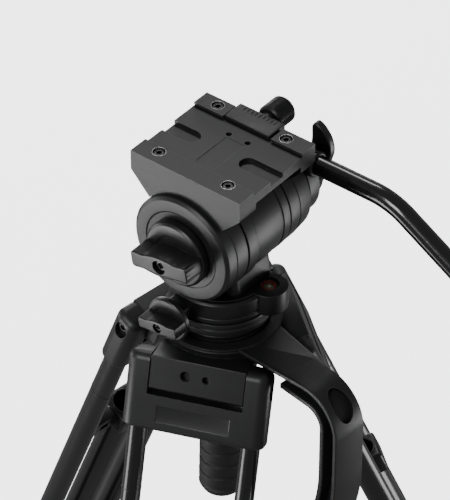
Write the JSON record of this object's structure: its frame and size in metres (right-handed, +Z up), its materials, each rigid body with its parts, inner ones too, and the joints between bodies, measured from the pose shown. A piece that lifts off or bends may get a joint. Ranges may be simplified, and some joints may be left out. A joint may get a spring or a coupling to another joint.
{
  "type": "fluid head on tripod",
  "caption": "Fluid video head with drag knobs, sliding-plate platform and pan handle, on a twin-tube tripod with levelling bowl, carry handle, spreader and locking telescopic legs.",
  "frame": {"origin": "on the floor, below the middle of the bowl's rim, which is also where the pan axis meets the floor", "axes": "+Z up; +X along the tilt axis, towards the pan handle; +Y where a camera's lens would look, so the operator and the pan bar are at -Y"},
  "size_m": [0.5365, 0.6412, 0.7615],
  "materials": {
    "casting": "fine-textured charcoal powder coat on cast aluminium",
    "tube": "glossy black anodised oval and round tube",
    "gloss_bar": "gloss black enamel",
    "plastic": "satin black moulded nylon",
    "rubber": "matt black ribbed rubber",
    "screws": "black oxide",
    "steel": "bright turned steel",
    "vial": "clear acrylic, pale green fluid"
  },
  "bodies": {
    "crown": {"crown": "casting", "carry_handle": "casting", "handle_cap": "rubber", "hinge_pin_1": "screws", "hinge_pin_2": "screws", "hinge_pin_3": "screws"},
    "leg_1": {"shoulder_bracket_1": "casting", "upper_tube_1a": "tube", "upper_tube_1b": "tube", "leg_collar_1": "casting"},
    "lock_1": {"lock_lever_1": "plastic"},
    "extension_1": {"lower_tube_1": "tube", "foot_1": "rubber"},
    "leg_2": {"shoulder_bracket_2": "casting", "upper_tube_2a": "tube", "upper_tube_2b": "tube", "leg_collar_2": "casting"},
    "lock_2": {"lock_lever_2": "plastic"},
    "extension_2": {"lower_tube_2": "tube", "foot_2": "rubber"},
    "leg_3": {"shoulder_bracket_3": "casting", "upper_tube_3a": "tube", "upper_tube_3b": "tube", "leg_collar_3": "casting"},
    "lock_3": {"lock_lever_3": "plastic"},
    "extension_3": {"lower_tube_3": "tube", "foot_3": "rubber"},
    "hub": {"spreader_hub": "plastic"},
    "arm_1": {"spreader_arm_1": "casting"},
    "arm_2": {"spreader_arm_2": "casting"},
    "arm_3": {"spreader_arm_3": "casting"},
    "level_cup": {"level_cup": "steel"},
    "ball": {"half_ball": "casting", "pan_base": "casting", "pan_bearing": "steel", "tie_down_stud": "steel"},
    "grip": {"tie_down_grip": "rubber"},
    "pan": {"pan_housing": "casting", "bubble_vial": "vial", "tilt_bushing": "steel"},
    "pan_knob": {"pan_drag_knob": "plastic", "pan_knob_screw": "screws"},
    "tilt": {"platform": "casting", "platform_screw_1": "screws", "platform_screw_2": "screws", "platform_screw_3": "screws", "platform_screw_4": "screws", "drum_left": "casting", "drum_right": "casting", "tilt_shaft": "steel", "damper_rotor": "steel", "counter_spring": "steel"},
    "tilt_knob": {"tilt_drag_knob": "plastic", "tilt_knob_screw": "screws"},
    "jaw": {"clamp_jaw": "casting"},
    "clamp_knob": {"clamp_knob": "plastic"},
    "handle": {"handle_holder": "casting", "pan_bar": "gloss_bar", "hand_grip": "rubber"},
    "handle_lever": {"handle_lever": "plastic"}
  },
  "joints": [
    {"name": "leg_1_spread", "type": "hinge", "parent": "crown", "child": "leg_1", "pos_m": [-0.04996, -0.01968, 0.581], "axis": [0.3665, -0.9304, 0], "range_deg": [0, 21.5]},
    {"name": "lock_1_open", "type": "hinge", "parent": "leg_1", "child": "lock_1", "pos_m": [-0.23336, -0.09192, 0.15265], "axis": [-0.3665, 0.9304, 0], "range_deg": [0, 100]},
    {"name": "extension_1_slide", "type": "slide", "parent": "leg_1", "child": "extension_1", "axis": [-0.3485, -0.1373, -0.9272], "range_m": [0, 0.26]},
    {"name": "leg_2_spread", "type": "hinge", "parent": "crown", "child": "leg_2", "pos_m": [0.04203, -0.03343, 0.581], "axis": [0.6225, 0.7826, 0], "range_deg": [0, 21.5]},
    {"name": "lock_2_open", "type": "hinge", "parent": "leg_2", "child": "lock_2", "pos_m": [0.19629, -0.15614, 0.15265], "axis": [-0.6225, -0.7826, 0], "range_deg": [0, 100]},
    {"name": "extension_2_slide", "type": "slide", "parent": "leg_2", "child": "extension_2", "axis": [0.2932, -0.2332, -0.9272], "range_m": [0, 0.26]},
    {"name": "leg_3_spread", "type": "hinge", "parent": "crown", "child": "leg_3", "pos_m": [0.00794, 0.05311, 0.581], "axis": [-0.989, 0.1478, 0], "range_deg": [0, 21.5]},
    {"name": "lock_3_open", "type": "hinge", "parent": "leg_3", "child": "lock_3", "pos_m": [0.03707, 0.24806, 0.15265], "axis": [0.989, -0.1478, 0], "range_deg": [0, 100]},
    {"name": "extension_3_slide", "type": "slide", "parent": "leg_3", "child": "extension_3", "axis": [0.0554, 0.3705, -0.9272], "range_m": [0, 0.26]},
    {"name": "hub_slide", "type": "slide", "parent": "crown", "child": "hub", "axis": [0, 0, 1], "range_m": [0, 0.052]},
    {"name": "arm_1_fold", "type": "hinge", "parent": "hub", "child": "arm_1", "pos_m": [-0.01582, -0.00623, 0.325], "axis": [0.3665, -0.9304, 0], "range_deg": [0, 42.1]},
    {"name": "arm_2_fold", "type": "hinge", "parent": "hub", "child": "arm_2", "pos_m": [0.0133, -0.01058, 0.325], "axis": [0.6225, 0.7826, 0], "range_deg": [0, 42.1]},
    {"name": "arm_3_fold", "type": "hinge", "parent": "hub", "child": "arm_3", "pos_m": [0.00251, 0.01681, 0.325], "axis": [-0.989, 0.1478, 0], "range_deg": [0, 42.1]},
    {"name": "level_roll", "type": "hinge", "parent": "crown", "child": "level_cup", "pos_m": [0, 0, 0.6], "axis": [0, 1, 0], "range_deg": [-7.5, 7.5]},
    {"name": "level_pitch", "type": "hinge", "parent": "level_cup", "child": "ball", "pos_m": [0, 0, 0.6], "axis": [1, 0, 0], "range_deg": [-7.5, 7.5]},
    {"name": "grip_turn", "type": "hinge", "parent": "ball", "child": "grip", "pos_m": [0, 0, 0.547], "axis": [0, 0, 1], "continuous": true},
    {"name": "pan_turn", "type": "hinge", "parent": "ball", "child": "pan", "pos_m": [0, 0, 0.6], "axis": [0, 0, 1], "continuous": true},
    {"name": "pan_drag_turn", "type": "hinge", "parent": "pan", "child": "pan_knob", "pos_m": [-0.054, 0.0065, 0.626], "axis": [1, 0, 0], "range_deg": [0, 300]},
    {"name": "tilt_turn", "type": "hinge", "parent": "pan", "child": "tilt", "pos_m": [0, 0, 0.6927], "axis": [1, 0, 0], "range_deg": [-60, 40]},
    {"name": "tilt_drag_turn", "type": "hinge", "parent": "tilt", "child": "tilt_knob", "pos_m": [-0.0503, 0, 0.6927], "axis": [1, 0, 0], "range_deg": [0, 300]},
    {"name": "jaw_slide", "type": "slide", "parent": "tilt", "child": "jaw", "axis": [1, 0, 0], "range_m": [0, 0.00375]},
    {"name": "clamp_turn", "type": "hinge", "parent": "jaw", "child": "clamp_knob", "pos_m": [0.053, 0.0005, 0.7505], "axis": [1, 0, 0], "range_deg": [0, 1081]},
    {"name": "handle_angle", "type": "hinge", "parent": "tilt", "child": "handle", "pos_m": [0.06, 0, 0.6927], "axis": [1, 0, 0], "range_deg": [-25, 20]},
    {"name": "handle_lever_turn", "type": "hinge", "parent": "handle", "child": "handle_lever", "pos_m": [0.081, 0, 0.6927], "axis": [1, 0, 0], "range_deg": [0, 60]}
  ],
  "couplings": [
    {"joint": "leg_2_spread", "follows": "leg_1_spread", "ratio": 1},
    {"joint": "leg_3_spread", "follows": "leg_1_spread", "ratio": 1},
    {"joint": "hub_slide", "follows": "leg_1_spread", "m_per_rad": 0.13722},
    {"joint": "arm_1_fold", "follows": "leg_1_spread", "ratio": 1.9452},
    {"joint": "arm_2_fold", "follows": "leg_1_spread", "ratio": 1.9452},
    {"joint": "arm_3_fold", "follows": "leg_1_spread", "ratio": 1.9452},
    {"joint": "clamp_turn", "follows": "jaw_slide", "rad_per_m": 5026.6}
  ]
}
